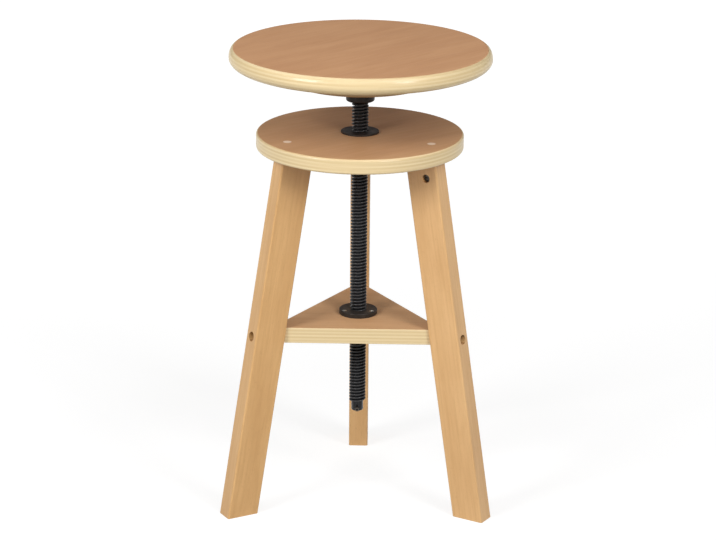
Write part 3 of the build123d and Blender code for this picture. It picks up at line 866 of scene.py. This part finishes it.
def screw_head(name, sunk):
    """A screw head that stands on the level plane through the origin, or is sunk into it."""
    foot = [(0, -SUNK_DEPTH), (SHANK_RADIUS, -SUNK_DEPTH)] if sunk else [(0, 0)]
    top, steps = (SUNK_CROWN, CROWN_STEPS) if sunk else (HEAD_HEIGHT, DOME_STEPS)
    head_edit = bmesh.new()
    add_turned(head_edit, foot + quarter(HEAD_RADIUS, top, steps))
    head = finish_mesh(name, head_edit, zinc_steel)
    cutter = cross_bars(name + "_cutter", top)
    cross = head.modifiers.new("cross", "BOOLEAN")
    cross.object = cutter
    cross.use_self = True
    bpy.context.view_layer.update()
    cut_head = head.evaluated_get(bpy.context.evaluated_depsgraph_get())
    head.data = bpy.data.meshes.new_from_object(cut_head)
    head.modifiers.clear()
    bpy.data.objects.remove(cutter)
    return head


print("screw heads are", round(2 * HEAD_RADIUS / MM, 1), "mm wide")

# %% [markdown]
# Screws stand in a ring round the spindle, as a maker would set them out with compasses. An array
# modifier could copy a head round, but then the ring would be one piece. Here each screw is a piece of
# its own, with a copy of the first one's mesh, and replaces the model's plain ring. In the flange nut
# two of the three stand in front, and the third is behind the spindle.

# %% Rings of wood screws
NUT_SCREW_RADIUS = 19.05 * MM
FLANGE_SCREW_RADIUS = 36.0 * MM
DISC_SCREW_RADIUS = 70.0 * MM
FLANGE_THICKNESS = 4.0 * MM


def screw_ring(node, body, circle_radius, count, first_degrees, height, facing_down, sunk):
    """Replaces a ring of the model's plain screws; gives back the new ones."""
    ring = [screw_head(node + "_1", sunk)]
    for number in range(1, count):
        ring.append(new_object(f"{node}_{number + 1}", ring[0].data.copy()))
    tilt = Matrix.Rotation(math.pi if facing_down else 0.0, 4, "X")
    for number, made in enumerate(ring):
        angle = math.radians(first_degrees) + 2 * math.pi * number / count
        spot = Vector((circle_radius * math.cos(angle), circle_radius * math.sin(angle), height))
        made.matrix_world = Matrix.Translation(spot) @ Matrix.Rotation(angle, 4, "Z") @ tilt
        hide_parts(node)
        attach(made, body)
    return ring


wood_screws = screw_ring("flange_nut_screws", "frame", NUT_SCREW_RADIUS, count=3, first_degrees=90,
                         height=nut_top, facing_down=False, sunk=True)
wood_screws += screw_ring("seat_flange_screws", "seat", FLANGE_SCREW_RADIUS, count=4, first_degrees=45,
                          height=disc_bottom - FLANGE_THICKNESS, facing_down=True, sunk=False)
wood_screws += screw_ring("seat_disc_screws", "seat", DISC_SCREW_RADIUS, count=4, first_degrees=0,
                          height=disc_bottom, facing_down=True, sunk=True)
print("screws with a cross recess:", len(wood_screws))

# %% [markdown]
# The studio round the stool is white. Enough lamps could light a floor and walls to white, but they
# would wash out the stool too. Light Path tells what kind of ray looks at a thing, so the studio can
# look white to the camera, to glass and in mirrors, and still send only a little light to the stool.

# %% Which rays see the studio
def seen_directly(tree, in_mirrors=1.0):
    """1 where the camera or glass looks, a share of it in mirrors, and 0 where light only bounces."""
    rays = add_node(tree, "ShaderNodeLightPath").outputs
    mirrored = math_node(tree, "MULTIPLY", rays["Is Glossy Ray"], in_mirrors)
    straight = math_node(tree, "MAXIMUM", rays["Is Camera Ray"], rays["Is Transmission Ray"])
    return math_node(tree, "MAXIMUM", straight, mirrored)


print("helper that tells seeing from lighting is ready")

# %% [markdown]
# The floor has no edge in the picture and shows only the stool's soft shadow. It could be a plain
# glowing sheet, but a glow takes no shadow. So for rays that see it, a part of it is a pale board that
# keeps the shadow, and the rest is a white glow, a little stronger far off. For light that bounces it
# is a warm grey board only.

# %% Floor
FLOOR_SIZE = 30.0
FLOOR_ROUGHNESS = 0.9
FLOOR_SEEN = (0.9, 0.9, 0.9, 1.0)
FLOOR_BOUNCE = (0.41, 0.395, 0.37, 1.0)
FLOOR_GLOW_NEAR = 1.2
FLOOR_GLOW_FAR = 1.55
GLOW_FROM = 0.4
GLOW_TO = 2.6
FLOOR_DROP = 0.2 * MM
SHADOW_SHARE = 0.35

floor_edit = bmesh.new()
bmesh.ops.create_grid(floor_edit, x_segments=1, y_segments=1, size=FLOOR_SIZE / 2)
floor_material, floor_tree, floor_shader = new_material("studio_floor", Roughness=FLOOR_ROUGHNESS)
seen = seen_directly(floor_tree)
floor_colour = mix_colour(floor_tree, seen, FLOOR_BOUNCE, FLOOR_SEEN)
floor_tree.links.new(floor_colour, floor_shader.inputs["Base Color"])
where = add_node(floor_tree, "ShaderNodeTexCoord").outputs["Object"]
away = vector_node(floor_tree, "LENGTH", where)["Value"]
glow = remap(floor_tree, away, GLOW_FROM, GLOW_TO, FLOOR_GLOW_NEAR, FLOOR_GLOW_FAR)
white = add_node(floor_tree, "ShaderNodeEmission", {"Strength": glow})
white_share = math_node(floor_tree, "MULTIPLY", seen, 1.0 - SHADOW_SHARE)
blend = add_node(floor_tree, "ShaderNodeMixShader",
                 {0: white_share, 1: floor_shader.outputs[0], 2: white.outputs[0]})
floor_tree.links.new(blend.outputs[0], floor_tree.nodes["Material Output"].inputs["Surface"])
floor = finish_mesh("studio_floor", floor_edit, floor_material)
floor.location.z = -FLOOR_DROP
print("floor of", FLOOR_SIZE, "m")

# %% [markdown]
# Beyond the floor the photograph shows only a blank white background. Walls could be built for it, but
# a world is enough. The camera sees it white, and it lights the stool only a little. Mirrors see a
# share of it, because a full white sky would lay a veil over the lacquered boards.

# %% Sky
SKY_STRENGTH = 0.16
SKY_SEEN = 1.0
SKY_IN_MIRRORS = 0.1
world = bpy.data.worlds.new("studio")
bpy.context.scene.world = world
world.use_nodes = True
sky_tree = world.node_tree
sky = sky_tree.nodes["Background"]
sky.inputs["Color"].default_value = WHITE
sky_seen = seen_directly(sky_tree, SKY_IN_MIRRORS)
sky_strength = remap(sky_tree, sky_seen, 0.0, 1.0, SKY_STRENGTH, SKY_SEEN)
sky_tree.links.new(sky_strength, sky.inputs["Strength"])
print("sky lights with", SKY_STRENGTH, "and looks", SKY_SEEN)

# %% [markdown]
# Two soft boxes stand left and right of the camera, as the two gleams on the edge of the seat show. The
# left one is the stronger: the legs' left sides are brighter than their right sides. Weaker ones fill
# in from the front, from the far left and from high on the right. Sun lamps or a sky image could light
# it as well, but soft boxes give the soft shadows and the short gleams of a studio. Each is given by
# two angles in degrees, round from the camera's side and up, its width in metres and its watts.

# %% Lamps
LAMP_TARGET = Vector((0, 0, 0.35))
LAMP_DISTANCE = 2.6
LAMPS = {
    "left_key": (-47, 28, 0.9, 36.0),
    "right_key": (41, 28, 0.8, 27.0),
    "front_fill": (-4, 42, 1.2, 9.0),
    "left_side": (-80, 42, 1.2, 7.0),
    "right_top": (41, 54, 1.2, 13.0),
}


def soft_box(name, azimuth_degrees, elevation_degrees, width, watts):
    """A square lamp that looks at the stool from a direction."""
    azimuth, elevation = math.radians(azimuth_degrees), math.radians(elevation_degrees)
    direction = Vector((math.cos(elevation) * math.sin(azimuth),
                        -math.cos(elevation) * math.cos(azimuth), math.sin(elevation)))
    lamp = bpy.data.lights.new(name, "AREA")
    lamp.size = width
    lamp.energy = watts
    made = new_object(name, lamp)
    made.location = LAMP_TARGET + direction * LAMP_DISTANCE
    made.rotation_euler = (-direction).to_track_quat("-Z", "Y").to_euler()


for name, setting in LAMPS.items():
    soft_box(name, *setting)
bpy.context.scene.view_settings.view_transform = "Standard"
